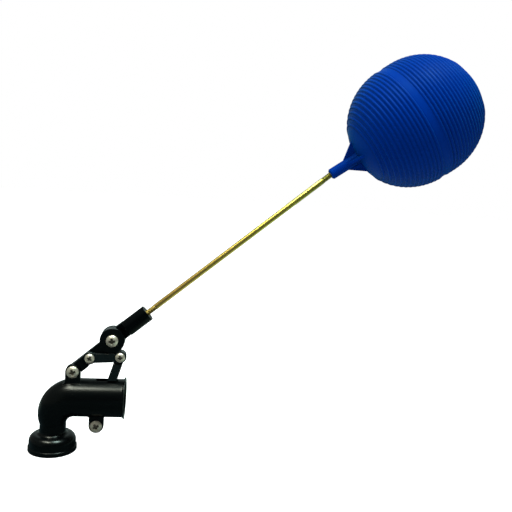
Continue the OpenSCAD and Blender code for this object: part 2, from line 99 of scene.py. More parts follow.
class Graph:
    """Adds nodes to a shader tree and joins them."""

    OCTAVE_SHARE: ClassVar[float] = 0.55

    def __init__(self, tree: bpy.types.NodeTree) -> None:
        """Keeps the tree that the nodes go into."""
        self.tree = tree

    def node(self, kind: str, inputs: Optional[Mapping[Any, Any]] = None, **settings: Any) -> bpy.types.Node:
        """Adds one node.

        Args:
            kind: the node's type name, without the ShaderNode prefix.
            inputs: socket name or number to a constant, or to an output socket that is joined to it.
            settings: properties of the node.

        Returns:
            The new node.
        """
        made = self.tree.nodes.new(kind if kind.startswith("Node") else "ShaderNode" + kind)
        for name, value in settings.items():
            setattr(made, name, value)
        for key, value in (inputs or {}).items():
            self.feed(made.inputs[key], value)
        return made

    def feed(self, socket: Socket, value: Any) -> None:
        """Joins an output socket to a socket, or sets its constant.

        Args:
            socket: the input to feed.
            value: an output socket, a number or a tuple.
        """
        if isinstance(value, Socket):
            self.tree.links.new(value, socket)
        elif isinstance(value, tuple) and len(value) == 3 and socket.type == "RGBA":
            socket.default_value = (*value, 1.0)
        else:
            socket.default_value = value

    def math(self, operation: str, a: Any, b: Any = 0.0, clamp: bool = False) -> Socket:
        """Returns a math node's result on two values, held between 0 and 1 where it is clamped."""
        return self.node("Math", {0: a, 1: b}, operation=operation, use_clamp=clamp).outputs[0]

    def mix(self, factor: Any, a: Any, b: Any) -> Socket:
        """Adds a colour mix.

        Args:
            factor: share of b.
            a: first colour.
            b: second colour.

        Returns:
            The mixed colour's socket.
        """
        made = self.node("Mix", {"Factor": factor}, data_type="RGBA", blend_type="MIX")
        self.feed(made.inputs[6], a)
        self.feed(made.inputs[7], b)
        return made.outputs[2]

    def span(self, value: Any, low: Any, high: Any, to_low: Any = 0.0, to_high: Any = 1.0) -> Socket:
        """Returns a value mapped from low and high to to_low and to_high, and held between those."""
        return self.node("MapRange", {0: value, 1: low, 2: high, 3: to_low, 4: to_high}).outputs[0]

    def noise(self, vector: Any, scale: Any, detail: float = 3.0) -> Socket:
        """Returns fractal noise, read at a vector with a scale per metre and a number of octaves."""
        inputs = {"Vector": vector, "Scale": scale, "Detail": detail, "Roughness": self.OCTAVE_SHARE}
        return self.node("TexNoise", inputs).outputs["Fac"]

    def bump(self, strength: float, distance: float, height: Any) -> Socket:
        """Returns the normal that a height bends, with a strength and a depth in metres."""
        return self.node("Bump", {"Strength": strength, "Distance": distance, "Height": height}).outputs[0]

    def place(self) -> Socket:
        """Returns the place on the piece, in its own axes."""
        return self.node("TexCoord").outputs["Object"]


class Effect(ABC):
    """A surface effect kept as one shader node group, built once and shared by the finishes."""

    name: ClassVar[str]
    inputs: ClassVar[Mapping[str, float]]
    outputs: ClassVar[Sequence[str]]

    @classmethod
    def group(cls) -> bpy.types.NodeTree:
        """Returns the effect's node group, and builds it on first use."""
        found = bpy.data.node_groups.get(cls.name)
        if found:
            return found
        tree = bpy.data.node_groups.new(cls.name, "ShaderNodeTree")
        for name, value in cls.inputs.items():
            socket = tree.interface.new_socket(name, in_out="INPUT", socket_type="NodeSocketFloat")
            socket.default_value = value
        for name in cls.outputs:
            tree.interface.new_socket(name, in_out="OUTPUT", socket_type="NodeSocketFloat")
        graph = Graph(tree)
        source = graph.node("NodeGroupInput")
        graph.node("NodeGroupOutput", cls.wire(graph, source.outputs))
        return tree

    @classmethod
    def place(cls, graph: Graph, **values: float) -> Outputs:
        """Puts the effect into a material.

        Args:
            graph: the material's graph.
            values: inputs that differ from the effect's own, with spaces written as underscores.

        Returns:
            The placed group's outputs.
        """
        made = graph.tree.nodes.new("ShaderNodeGroup")
        made.node_tree = cls.group()
        for key, value in values.items():
            made.inputs[key.replace("_", " ")].default_value = value
        return made.outputs

    @classmethod
    @abstractmethod
    def wire(cls, graph: Graph, given: Outputs) -> Mapping[str, Socket]:
        """Joins the group's nodes.

        Args:
            graph: the group's graph.
            given: the group's inputs.

        Returns:
            Output name to the socket that feeds it.
        """


class Mottle(Effect):
    """Slow and fine unevenness of a moulded or plated skin."""

    name = "mottle"
    inputs = {"Broad Scale": 40.0, "Fine Scale": 600.0, "Fine Share": 0.4}
    outputs = ("Mask",)
    band: ClassVar[Point2] = (0.3, 0.7)

    @classmethod
    def wire(cls, graph: Graph, given: Outputs) -> Mapping[str, Socket]:
        """Mixes a broad and a fine noise; see Effect.wire."""
        place = graph.place()
        keep = graph.math("SUBTRACT", 1.0, given["Fine Share"])
        broad = graph.math("MULTIPLY", graph.noise(place, given["Broad Scale"]), keep)
        fine = graph.math("MULTIPLY", graph.noise(place, given["Fine Scale"]), given["Fine Share"])
        return {"Mask": graph.span(graph.math("ADD", broad, fine), *cls.band)}


class MouldGrain(Effect):
    """Fine etched grain and faint flow waves of moulded plastic, as a height."""

    name = "mould_grain"
    inputs = {"Grain Scale": 2600.0, "Wave Scale": 90.0, "Wave Share": 0.5}
    outputs = ("Height",)

    @classmethod
    def wire(cls, graph: Graph, given: Outputs) -> Mapping[str, Socket]:
        """Adds grain to waves; see Effect.wire."""
        place = graph.place()
        grain = graph.noise(place, given["Grain Scale"], detail=2.0)
        wave = graph.noise(place, given["Wave Scale"], detail=1.0)
        return {"Height": graph.math("ADD", grain, graph.math("MULTIPLY", wave, given["Wave Share"]))}


class EdgeWear(Effect):
    """Corners rubbed lighter by handling."""

    name = "edge_wear"
    inputs = {"Start": 0.53, "End": 0.62, "Break Up": 350.0}
    outputs = ("Mask",)
    least: ClassVar[float] = 0.25

    @classmethod
    def wire(cls, graph: Graph, given: Outputs) -> Mapping[str, Socket]:
        """Takes outer corners and breaks them up with noise; see Effect.wire."""
        corner = graph.span(graph.node("NewGeometry").outputs["Pointiness"], given["Start"], given["End"])
        place = graph.place()
        broken = graph.span(graph.noise(place, given["Break Up"]), *NOISE_BAND, cls.least, 1.0)
        return {"Mask": graph.math("MULTIPLY", corner, broken, clamp=True)}


class PaintedGrooveShade(Effect):
    """Painted shade: dark lines along inner corners, such as the feet of ribs."""

    name = "painted_groove_shade"
    inputs = {"Start": 0.495, "End": 0.45}
    outputs = ("Mask",)

    @classmethod
    def wire(cls, graph: Graph, given: Outputs) -> Mapping[str, Socket]:
        """Takes inner corners for the painted shade; see Effect.wire."""
        sharp = graph.node("NewGeometry").outputs["Pointiness"]
        return {"Mask": graph.span(sharp, given["Start"], given["End"])}


class SettledDust(Effect):
    """Thin dust on what faces up."""

    name = "settled_dust"
    inputs = {"Speck Scale": 900.0, "Cover": 0.5}
    outputs = ("Mask",)
    slope: ClassVar[Point2] = (0.2, 1.0)
    speck_band: ClassVar[Point2] = (0.45, 0.75)
    octaves: ClassVar[float] = 4.0

    @classmethod
    def wire(cls, graph: Graph, given: Outputs) -> Mapping[str, Socket]:
        """Takes the upward share of the normal and speckles it; see Effect.wire."""
        normal = graph.node("NewGeometry").outputs["Normal"]
        up = graph.node("SeparateXYZ", {0: normal}).outputs["Z"]
        facing = graph.span(up, *cls.slope)
        place = graph.place()
        specks = graph.span(graph.noise(place, given["Speck Scale"], cls.octaves), *cls.speck_band)
        laid = graph.math("MULTIPLY", facing, specks)
        return {"Mask": graph.math("MULTIPLY", laid, given["Cover"], clamp=True)}


class TurnedLines(Effect):
    """Fine rings left by turning or drawing, read from the distances marked on a turned mesh."""

    name = "turned_lines"
    inputs = {"Along": 0.0, "Across": 9000.0, "Stray": 0.35}
    outputs = ("Height", "Mask")
    stray_scale: ClassVar[float] = 500.0

    @classmethod
    def wire(cls, graph: Graph, given: Outputs) -> Mapping[str, Socket]:
        """Reads noise along the marked distances; see Effect.wire."""
        mark = graph.node("Attribute", attribute_name=AXIS_MARK).outputs["Vector"]
        parts = graph.node("SeparateXYZ", {0: mark})
        along = graph.math("MULTIPLY", parts.outputs["X"], given["Along"])
        across = graph.math("MULTIPLY", parts.outputs["Y"], given["Across"])
        place = graph.place()
        stray = graph.math("MULTIPLY", graph.noise(place, cls.stray_scale), given["Stray"])
        line = graph.node("CombineXYZ", {0: graph.math("ADD", along, stray), 1: across})
        height = graph.noise(line.outputs[0], 1.0, detail=2.0)
        return {"Height": height, "Mask": graph.span(height, *NOISE_BAND)}


class Darkening(Effect):
    """Darkening where a mesh is marked: painted shade and dirt in a recess, darker threads on a rod."""

    name = "darkening"
    inputs = {"Break Up": 1500.0}
    outputs = ("Mask",)
    band: ClassVar[Point2] = (0.3, 0.6)
    least: ClassVar[float] = 0.7

    @classmethod
    def wire(cls, graph: Graph, given: Outputs) -> Mapping[str, Socket]:
        """Takes the mark and breaks it up a little; see Effect.wire."""
        mark = graph.node("Attribute", attribute_name=DARKENING_MARK).outputs["Fac"]
        place = graph.place()
        broken = graph.span(graph.noise(place, given["Break Up"]), *cls.band, cls.least, 1.0)
        return {"Mask": graph.math("MULTIPLY", mark, broken, clamp=True)}


# Finishes


@dataclass(frozen=True)
class Finish(ABC):
    """One finish of the valve, with the record's slot that it belongs to."""

    name: str
    slot: Slot
    base: Color
    rough: float

    def material(self) -> bpy.types.Material:
        """Returns the finish's material, and builds it on first use."""
        found = bpy.data.materials.get(self.name)
        if found:
            return found
        made = bpy.data.materials.new(self.name)
        made.use_nodes = True
        made.diffuse_color = (*self.base, 1.0)
        graph = Graph(made.node_tree)
        shader = made.node_tree.nodes["Principled BSDF"]
        for socket, value in self.constants().items():
            graph.feed(shader.inputs[socket], value)
        for socket, value in self.wire(graph).items():
            graph.feed(shader.inputs[socket], value)
        return made

    @abstractmethod
    def constants(self) -> Mapping[str, Any]:
        """Returns the shader's values that are the same all over."""

    @abstractmethod
    def wire(self, graph: Graph) -> Mapping[str, Any]:
        """Joins the finish's nodes.

        Args:
            graph: the material's graph.

        Returns:
            Shader socket to what feeds it.
        """


@dataclass(frozen=True)
class MouldedPlastic(Finish):
    """Satin moulded plastic: mottled colour and gloss, etched grain, rubbed corners and a little dust."""

    deep: Color
    worn: Color
    dust: Color
    rough_spread: float
    grain: float
    specular: float
    tint: Color
    dust_cover: float
    wear_share: float = 0.6
    mottle_share: float = 0.8
    groove_share: float = 0.0
    sheen: float = 0.0
    sheen_tint: Color = (1.0, 1.0, 1.0)
    dust_rough: float = 0.15
    grain_height: float = 0.0002

    def constants(self) -> Mapping[str, Any]:
        """Returns the reflection's level and tint, and the sheen's."""
        return {
            "Specular IOR Level": self.specular,
            "Specular Tint": self.tint,
            "Sheen Weight": self.sheen,
            "Sheen Tint": self.sheen_tint,
        }

    def wire(self, graph: Graph) -> Mapping[str, Any]:
        """Layers mottle, wear, dust and painted shade in the grooves; see Finish.wire."""
        mottle = Mottle.place(graph)["Mask"]
        wear = graph.math("MULTIPLY", EdgeWear.place(graph)["Mask"], self.wear_share)
        dust = SettledDust.place(graph, Cover=self.dust_cover)["Mask"]
        color = graph.mix(graph.math("MULTIPLY", mottle, self.mottle_share), self.base, self.deep)
        color = graph.mix(wear, color, self.worn)
        color = graph.mix(dust, color, self.dust)
        if self.groove_share:
            # painted shade: inner corners are mixed towards the deep colour
            groove = graph.math("MULTIPLY", PaintedGrooveShade.place(graph)["Mask"], self.groove_share)
            color = graph.mix(groove, color, self.deep)
        rough = graph.span(mottle, 0.0, 1.0, self.rough - self.rough_spread, self.rough + self.rough_spread)
        rough = graph.math("ADD", rough, graph.math("MULTIPLY", dust, self.dust_rough), clamp=True)
        height = MouldGrain.place(graph)["Height"]
        bump = graph.bump(self.grain, self.grain_height, height)
        return {"Base Color": color, "Roughness": rough, "Normal": bump}


@dataclass(frozen=True)
class PlatedMetal(Finish):
    """Plated or turned metal: tinted skin, turning lines, uneven gloss and marked darkening in recesses."""

    second: Color
    dark: Color
    along: float
    across: float
    line_depth: float
    rough_spread: float
    tint_scale: float = 120.0
    fine_share: float = 0.4
    line_tint: float = 0.12
    metallic: float = 1.0
    stray: float = 0.35
    fine_scale: float = 1800.0
    line_height: float = 0.00006
    # how far marked places darken: painted shade with dirt in the screws' recesses
    darkening_share: float = 0.92
    darkening_rough: float = 0.3

    def constants(self) -> Mapping[str, Any]:
        """Returns how metallic the skin is."""
        return {"Metallic": self.metallic}

    def wire(self, graph: Graph) -> Mapping[str, Any]:
        """Layers the tint, lines and marked darkening; see Finish.wire."""
        mottle = Mottle.place(
            graph, Broad_Scale=self.tint_scale, Fine_Scale=self.fine_scale, Fine_Share=self.fine_share
        )["Mask"]
        lines = TurnedLines.place(graph, Along=self.along, Across=self.across, Stray=self.stray)
        darkening = Darkening.place(graph)["Mask"]
        color = graph.mix(self.shade(graph, mottle), self.base, self.second)
        color = graph.mix(graph.math("MULTIPLY", lines["Mask"], self.line_tint), color, self.dark)
        # marked places darkened: painted shade with some dirt in the screws' recesses
        color = graph.mix(graph.math("MULTIPLY", darkening, self.darkening_share), color, self.dark)
        rough = graph.span(mottle, 0.0, 1.0, self.rough - self.rough_spread, self.rough + self.rough_spread)
        rough = graph.math("ADD", rough, graph.math("MULTIPLY", darkening, self.darkening_rough), clamp=True)
        bump = graph.bump(self.line_depth, self.line_height, lines["Height"])
        return {"Base Color": color, "Roughness": rough, "Normal": bump}

    def shade(self, graph: Graph, mottle: Socket) -> Socket:
        """Returns the share of the second tint, here the mottle itself."""
        return mottle


@dataclass(frozen=True)
class YellowZinc(PlatedMetal):
    """Yellow passivated zinc, brown at one end and greener to the other, with clouds drawn along the rod."""

    cloud_scale: float = 30.0
    cloud_share: float = 0.2
    cloud_least: float = 0.5
    brown_to: float = 0.08
    green_from: float = 0.25

    def shade(self, graph: Graph, mottle: Socket) -> Socket:
        """Ramps from brown to green along the rod, with clouds that follow its length.

        Args:
            graph: the material's graph.
            mottle: the finish's mottle.

        Returns:
            The share of the second tint.
        """
        mark = graph.node("Attribute", attribute_name=AXIS_MARK).outputs["Vector"]
        drawn = graph.noise(mark, self.cloud_scale, detail=2.0)
        along = graph.node("SeparateXYZ", {0: mark}).outputs["X"]
        cloud = graph.span(drawn, *NOISE_BAND, -self.cloud_share, self.cloud_share)
        cloud = graph.math("MULTIPLY", cloud, graph.span(mottle, 0.0, 1.0, self.cloud_least, 1.0))
        return graph.math("ADD", graph.span(along, self.brown_to, self.green_from), cloud, clamp=True)


BLACK_PLASTIC = MouldedPlastic(
    name="satin_black",
    slot=Slot.BLACK,
    base=(0.0003, 0.0007, 0.0009),
    rough=0.24,
    deep=(0.0002, 0.0005, 0.0006),
    worn=(0.002, 0.003, 0.003),
    dust=(0.002, 0.003, 0.003),
    rough_spread=0.02,
    grain=0.03,
    specular=0.22,
    tint=(0.93, 1.0, 0.92),
    dust_cover=0.08,
    wear_share=0.4,
)
BLACK_SOCKET = replace(BLACK_PLASTIC, name="satin_black_socket", specular=0.12)
# A lighter copy of the black for the link and rocker: painted light for faces that look lighter; its higher
# specular is real gloss.
BLACK_PLATE_PAINTED_LIGHT = replace(BLACK_PLASTIC, name="satin_black_plate_painted_light", base=(0.0018, 0.0045, 0.0052), specular=0.45)
FLOAT_PLASTIC = MouldedPlastic(
    name="satin_blue",
    slot=Slot.FLOAT,
    base=(0.0, 0.0115, 0.130),
    rough=0.42,
    # deep is the mottle's deeper tone and the colour of the painted shade in the ribs' grooves
    deep=(0.0, 0.002, 0.040),
    worn=(0.0, 0.020, 0.150),
    dust=(0.0, 0.017, 0.135),
    rough_spread=0.05,
    grain=0.03,
    specular=0.02,
    tint=(0.0, 0.9, 1.0),
    dust_cover=0.05,
    wear_share=0.15,
    sheen=0.05,
    sheen_tint=(0.0, 0.8, 0.7),
    # share of painted shade in the ribs' grooves
    groove_share=0.38,
    mottle_share=0.06,
)
SCREW_STEEL = PlatedMetal(
    name="plated_steel",
    slot=Slot.STEEL,
    base=(0.72, 0.675, 0.53),
    rough=0.34,
    second=(0.64, 0.60, 0.47),
    # dark is also the colour of the painted shade in the cross recess
    dark=(0.020, 0.018, 0.015),
    along=0.0,
    across=9000.0,
    line_depth=0.2,
    rough_spread=0.05,
    metallic=0.85,
)
ROD_ZINC = YellowZinc(
    name="yellow_zinc",
    slot=Slot.ZINC,
    base=(0.68, 0.46, 0.12),
    rough=0.32,
    second=(0.60, 0.56, 0.10),
    dark=(0.07, 0.05, 0.015),
    along=40.0,
    across=3000.0,
    line_depth=0.01,
    rough_spread=0.04,
    tint_scale=40.0,
    fine_share=0.08,
    line_tint=0.04,
    metallic=0.95,
    stray=0.05,
)
BRASS = PlatedMetal(
    name="turned_brass",
    slot=Slot.BRASS,
    base=(0.16, 0.12, 0.04),
    rough=0.30,
    second=(0.14, 0.10, 0.03),
    dark=(0.05, 0.035, 0.01),
    along=4000.0,
    across=6000.0,
    line_depth=0.4,
    rough_spread=0.06,
)
SEAT_RUBBER = MouldedPlastic(
    name="seat_rubber",
    slot=Slot.RUBBER,
    base=(0.022, 0.022, 0.022),
    rough=0.75,
    deep=(0.014, 0.014, 0.014),
    worn=(0.05, 0.05, 0.05),
    dust=(0.08, 0.08, 0.075),
    rough_spread=0.08,
    grain=0.3,
    specular=0.3,
    tint=(1.0, 1.0, 1.0),
    dust_cover=0.2,
)


# Mesh tools


def mesh_piece(name: str, bm: BMesh, place: Matrix = Matrix.Identity(4)) -> Piece:
    """Makes an object of a mesh written in millimetres.

    Args:
        name: the piece's name.
        bm: the mesh, which is freed.
        place: from the mesh's own axes to the part's, in millimetres.

    Returns:
        The object, in metres, with its own origin at the part's.
    """
    bmesh.ops.recalc_face_normals(bm, faces=bm.faces)
    bm.transform(Matrix.Scale(MM, 4) @ place)
    mesh = bpy.data.meshes.new(name)
    bm.to_mesh(mesh)
    bm.free()
    made = bpy.data.objects.new(name, mesh)
    bpy.context.scene.collection.objects.link(made)
    return made


def settle(piece: Piece) -> None:
    """Applies a piece's modifiers to its mesh and clears them.

    Args:
        piece: the object.
    """
    graph = bpy.context.evaluated_depsgraph_get()
    done = bpy.data.meshes.new_from_object(piece.evaluated_get(graph))
    old = piece.data
    piece.modifiers.clear()
    piece.data = done
    bpy.data.meshes.remove(old)
    done.name = piece.name


def combine(piece: Piece, others: Iterable[Piece], operation: str) -> None:
    """Adds other solids to a piece, cuts them out of it or keeps what they share.

    Args:
        piece: the object that is kept.
        others: solids that are used up.
        operation: UNION, DIFFERENCE or INTERSECT.
    """
    for other in others:
        cut = piece.modifiers.new("combine", "BOOLEAN")
        cut.object = other
        cut.operation = operation
        cut.solver = "EXACT"
        settle(piece)
        bpy.data.objects.remove(other)


def smooth(piece: Piece, angle: float = 32.0) -> Piece:
    """Shades a piece smooth, with sharp edges above an angle in degrees."""
    piece.data.shade_smooth()
    piece.data.set_sharp_from_angle(angle=math.radians(angle))
    return piece


def mark_axis(piece: Piece, place: Matrix) -> None:
    """Marks each point's distances along and from a turning axis, in metres, for the turned finishes.

    Args:
        piece: the object.
        place: from the axis frame, whose X is the axis, to the part's, in millimetres.
    """
    back = place.inverted()
    mark = piece.data.attributes.new(AXIS_MARK, "FLOAT_VECTOR", "POINT")
    for value, vertex in zip(mark.data, piece.data.vertices):
        local = back @ (vertex.co / MM)
        value.vector = (local.x * MM, math.hypot(local.y, local.z) * MM, 0.0)


def mark_darkening(piece: Piece, place: Matrix, share: Callable[[Vector], float]) -> None:
    """Marks how dark each point is made.

    Args:
        piece: the object.
        place: from the piece's own axes to the part's, in millimetres.
        share: from a point in the piece's own axes to a share from 0 to 1.
    """
    back = place.inverted()
    mark = piece.data.attributes.new(DARKENING_MARK, "FLOAT", "POINT")
    for value, vertex in zip(mark.data, piece.data.vertices):
        value.value = share(back @ (vertex.co / MM))


def arc(center: Point2, r: float, start: float, end: float, steps: int) -> Loop:
    """Returns an arc's points from one angle to another, in radians, both ends among them."""
    turns = [start + (end - start) * i / steps for i in range(steps + 1)]
    return [(center[0] + r * math.cos(t), center[1] + r * math.sin(t)) for t in turns]


def turned(
    bm: BMesh,
    rings: Sequence[Point2],
    sides: int,
    closed: bool = False,
    swell: Optional[Swell] = None,
) -> None:
    """Turns a profile about the X axis.

    Args:
        bm: the mesh that it goes into.
        rings: distance along the axis and radius of each ring; a radius of 0 is a pole.
        sides: points round each ring.
        closed: whether the last ring joins the first.
        swell: radius from distance, radius and turn in radians, where the ring isn't round.
    """
    rows: list[list[bmesh.types.BMVert]] = []
    for x, r in rings:
        if r <= 0.0:
            rows.append([bm.verts.new((x, 0.0, 0.0))])
            continue
        row = []
        for k in range(sides):
            turn = 2 * math.pi * k / sides
            reach = swell(x, r, turn) if swell else r
            row.append(bm.verts.new((x, reach * math.cos(turn), reach * math.sin(turn))))
        rows.append(row)
    pairs = list(zip(rows, rows[1:] + rows[:1] if closed else rows[1:]))
    for a, b in pairs:
        for k in range(sides):
            n = (k + 1) % sides
            corners = [a[k % len(a)], a[n % len(a)], b[n % len(b)], b[k % len(b)]]
            face = list(dict.fromkeys(corners))
            if len(face) > 2:
                bm.faces.new(face)


def turned_piece(
    name: str,
    rings: Sequence[Point2],
    sides: int,
    place: Matrix,
    closed: bool = False,
    swell: Optional[Swell] = None,
) -> Piece:
    """Makes an object of one turned profile.

    Args:
        name: the piece's name.
        rings: its rings; see turned.
        sides: points round each ring.
        place: from the axis frame to the part's, in millimetres.
        closed: whether the last ring joins the first.
        swell: radius where the ring isn't round; see turned.

    Returns:
        The turned object.
    """
    bm = bmesh.new()
    turned(bm, rings, sides, closed, swell)
    return mesh_piece(name, bm, place)


def plate(name: str, loop: Loop, span: Point2, bevel: float) -> Piece:
    """Makes a flat plate with rounded edges from an outline in X and Z.

    Args:
        name: the piece's name.
        loop: the outline.
        span: the plate's lowest and highest Y.
        bevel: radius of the edges.

    Returns:
        The plate's object.
    """
    curve = bpy.data.curves.new(name, "CURVE")
    curve.dimensions = "2D"
    curve.fill_mode = "BOTH"
    curve.extrude = (span[1] - span[0]) / 2 - bevel
    curve.bevel_depth = bevel
    curve.bevel_resolution = PLATE_EDGE_STEPS
    curve.offset = -bevel
    spline = curve.splines.new("POLY")
    spline.points.add(len(loop) - 1)
    for point, (x, z) in zip(spline.points, loop):
        point.co = (x, z, 0.0, 1.0)
    spline.use_cyclic_u = True
    sketch = bpy.data.objects.new(name + "_sketch", curve)
    bpy.context.scene.collection.objects.link(sketch)
    bpy.context.view_layer.update()
    flat = bpy.data.meshes.new_from_object(sketch.evaluated_get(bpy.context.evaluated_depsgraph_get()))
    bm = bmesh.new()
    bm.from_mesh(flat)
    bmesh.ops.remove_doubles(bm, verts=bm.verts, dist=WELD / MM)
    bpy.data.objects.remove(sketch)
    bpy.data.curves.remove(curve)
    bpy.data.meshes.remove(flat)
    stand = Matrix.Translation((0.0, (span[0] + span[1]) / 2, 0.0)) @ Matrix.Rotation(math.pi / 2, 4, "X")
    return mesh_piece(name, bm, stand)


@dataclass(frozen=True)
class Web:
    """A block with straight sides that is moulded onto a solid."""

    outline: Sequence[Point2]
    span: Point2

    def join(self, bm: BMesh) -> None:
        """Adds the block to a mesh, as a closed skin of its own.

        Args:
            bm: the mesh.
        """
        front, back = ([bm.verts.new((x, y, z)) for x, z in self.outline] for y in self.span)
        bm.faces.new(front)
        bm.faces.new(back[::-1])
        for k in range(len(front)):
            bm.faces.new((front[k - 1], back[k - 1], back[k], front[k]))


def moulded_copy(
    node: str,
    name: str,
    voxel: float,
    passes: int,
    keep: float,
    soft_before: Optional[float] = None,
    web: Optional[Web] = None,
) -> Piece:
    """Copies a solid with the softened edges of a moulding.

    Args:
        node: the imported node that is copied.
        name: the piece's name.
        voxel: size of the new mesh's cells.
        passes: how often the mesh is relaxed.
        keep: share of the faces that stay.
        soft_before: the Y that the relaxing stops at, or none for all of the mesh.
        web: a small block that is moulded on.

    Returns:
        The softened copy.
    """
    bm = bmesh.new()
    bm.from_mesh(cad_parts[node].data)
    bmesh.ops.remove_doubles(bm, verts=bm.verts, dist=WELD)
    bm.transform(Matrix.Scale(1 / MM, 4))
    if web is not None:
        web.join(bm)
    made = mesh_piece(name, bm)
    remesh = made.modifiers.new("cells", "REMESH")
    remesh.mode = "VOXEL"
    remesh.voxel_size = voxel * MM
    settle(made)
    relax = made.modifiers.new("relax", "SMOOTH")
    relax.factor = RELAX_SHARE
    relax.iterations = passes
    if soft_before is not None:
        front = made.vertex_groups.new(name="front")
        front.add([v.index for v in made.data.vertices if v.co.y < soft_before * MM], 1.0, "REPLACE")
        relax.vertex_group = front.name
    if keep < 1.0:
        thin = made.modifiers.new("thin", "DECIMATE")
        thin.ratio = keep
    settle(made)
    made.vertex_groups.clear()
    made.data.shade_smooth()
    return made


# The part's places


@dataclass(frozen=True)
class Layout:
    """Pins, axes and the rod's sizes that the sub-assemblies share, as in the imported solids."""

    lever_pin: Point2 = (19.65, 84.6)
    link_pin: Point2 = (35.7009, 98.6021)
    rocker_top: Point2 = (66.0408, 100.5127)
    hub_pin: Point2 = (57.3282, 117.4688)
    rocker_pin: Point2 = (44.35, 28.3)
    axis_h: float = 55.3
    plate_y: float = 3.8
    link_y: float = 7.8
    ear_y: float = 9.3
    hub_back: float = 8.05
    arm_angle: float = 40.2
    socket_end: float = 44.5
    rod_free: float = 234.0
    rod_r: float = 3.0
    rod_grip: float = 18.0
    float_lean: float = 4.8
    pin_gap: float = 0.06

    def arm(self) -> Matrix:
        """Returns the rod's axis, from the hub pin."""
        hub = Matrix.Translation((self.hub_pin[0], 0.0, self.hub_pin[1]))
        return hub @ Matrix.Rotation(-math.radians(self.arm_angle), 4, "Y")

    def ball(self) -> Matrix:
        """Returns the float's axis, from the mouth of its boss."""
        mouth = Matrix.Translation((self.socket_end + self.rod_free, 0.0, 0.0))
        return self.arm() @ mouth @ Matrix.Rotation(math.radians(self.float_lean), 4, "Y")

    def barrel(self) -> Matrix:
        """Returns the barrel's axis, from the leg's."""
        return Matrix.Translation((0.0, 0.0, self.axis_h))

    def screw(self, pin: Point2, y: float) -> Matrix:
        """Returns the axes of a screw at a pin, from the y of its seat; their X points out of the front."""
        turn = Matrix(((0, 1, 0, 0), (-1, 0, 0, 0), (0, 0, 1, 0), (0, 0, 0, 1)))
        return Matrix.Translation((pin[0], y, pin[1])) @ turn


@dataclass
class SubAssembly(ABC):
    """A group of pieces that are built and dressed together."""

    layout: Layout = field(default_factory=Layout)

    @abstractmethod
    def build(self) -> None:
        """Builds the pieces and dresses each one."""

    def dress(self, piece: Piece, body: Body, finish: Finish, *nodes: str) -> None:
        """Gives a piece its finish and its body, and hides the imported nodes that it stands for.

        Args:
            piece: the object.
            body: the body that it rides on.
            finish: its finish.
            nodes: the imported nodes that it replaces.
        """
        piece.data.materials.clear()
        piece.data.materials.append(finish.material())
        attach(piece, body.value)
        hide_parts(*nodes)
        LOG.info("%s: %d faces, rides on %s", piece.name, len(piece.data.polygons), body.value)


@dataclass
class ValveElbow(SubAssembly):
    """Moulded elbow with its inlet bell, barrel and ears; the inlet's thread is cut into the bore."""

    voxel: float = 0.30
    passes: int = 1
    keep: float = 0.4
    leg_r: float = 13.2
    barrel_r: float = 19.5
    crotch_r: float = 8.6
    skin_band: float = 0.3
    bore_r: float = 15.15
    thread_depth: float = 1.35
    thread_pitch: float = 2.309
    thread_from: float = 1.0
    thread_to: float = 12.6
    thread_fade: float = 1.2
    wall_band: float = 0.35

    def build(self) -> None:
        """Builds the elbow."""
        elbow = moulded_copy("valve_body", "elbow_body", self.voxel, self.passes, self.keep)
        self.round_bend(elbow)
        self.cut_thread(elbow)
        self.dress(elbow, Body.HOUSING, BLACK_PLASTIC, "valve_body")

    def round_bend(self, elbow: Piece) -> None:
        """Moves the bend's skin onto the smooth surface that the facets stand for.

        Args:
            elbow: the moulded copy.
        """
        corner_x = self.leg_r + self.crotch_r
        corner_z = self.layout.axis_h - self.barrel_r - self.crotch_r
        for vertex in elbow.data.vertices:
            x, y, z = vertex.co / MM
            if x > corner_x or z < corner_z:
                continue
            turn = math.atan2(z - corner_z, corner_x - x)
            r = self.leg_r + (self.barrel_r - self.leg_r) * math.sin(turn)
            middle = self.crotch_r + r
            out = math.hypot(corner_x - x, z - corner_z) - middle
            reach = math.hypot(out, y)
            if abs(reach - r) > self.skin_band:
                continue
            far = middle + out * r / reach
            skin = (corner_x - far * math.cos(turn), y * r / reach, corner_z + far * math.sin(turn))
            vertex.co = Vector(skin) * MM

    def cut_thread(self, elbow: Piece) -> None:
        """Pushes the bore's wall outwards along a helix.

        Args:
            elbow: the moulded copy.
        """
        for vertex in elbow.data.vertices:
            x, y, z = vertex.co / MM
            r = math.hypot(x, y)
            if abs(r - self.bore_r) > self.wall_band or not self.thread_from < z < self.thread_to:
                continue
            wave = math.cos(2 * math.pi * (z / self.thread_pitch) - math.atan2(y, x))
            ends = min(z - self.thread_from, self.thread_to - z) / self.thread_fade
            push = self.thread_depth * (0.5 - 0.5 * wave) * min(1.0, max(0.0, ends))
            vertex.co.x = x * (1 + push / r) * MM
            vertex.co.y = y * (1 + push / r) * MM


@dataclass
class Plunger(SubAssembly):
    """Piston with its seat washer, seen through the outlet and the slots."""

    voxel: float = 0.4
    passes: int = 4
    keep: float = 0.5
    washer_x: float = 32.8
    washer_r: float = 12.7
    washer_t: float = 4.0
    washer_edge: float = 0.5
    edge_steps: int = 4
    sides: int = 72

    def build(self) -> None:
        """Builds the piston and the washer."""
        piston = moulded_copy("piston", "winged_piston", self.voxel, self.passes, self.keep)
        self.dress(piston, Body.PLUNGER, BLACK_PLASTIC, "piston")
        edge, r = self.washer_edge, self.washer_r
        start, end = self.washer_x, self.washer_x + self.washer_t
        rings = [(start, 0.0)]
        rings += arc((start + edge, r - edge), edge, math.pi, math.pi / 2, self.edge_steps)
        rings += arc((end - edge, r - edge), edge, math.pi / 2, 0.0, self.edge_steps)
        rings.append((end, 0.0))
        washer = smooth(turned_piece("seat_disc", rings, self.sides, self.layout.barrel()))
        self.dress(washer, Body.PLUNGER, SEAT_RUBBER, "seat_washer")


